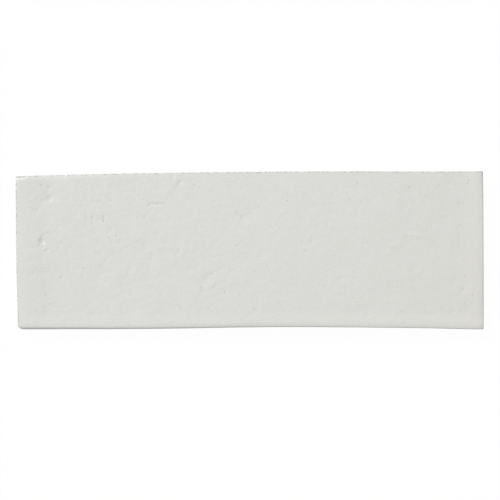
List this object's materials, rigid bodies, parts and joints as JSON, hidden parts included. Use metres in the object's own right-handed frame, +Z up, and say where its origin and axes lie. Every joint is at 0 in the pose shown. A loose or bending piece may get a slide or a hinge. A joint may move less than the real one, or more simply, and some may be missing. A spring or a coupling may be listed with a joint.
{
  "type": "field tile",
  "caption": "Rectangular glazed ceramic field tile with a hand-finished wavering outline, rolled glaze edges, a softly crowned face and a grooved back for adhesive.",
  "frame": {"origin": "middle of the back, on the surface that the tile lies on", "axes": "+X along the tile's length, +Y across it from the foot edge to the head edge, +Z up out of the glazed face"},
  "size_m": [0.2248, 0.0762, 0.0102],
  "materials": {
    "white_glaze": "warm white gloss glaze over buff clay, pitted, with bare clay on the back and low on the sides"
  },
  "bodies": {
    "root": {"field_tile": "white_glaze"}
  },
  "joints": []
}
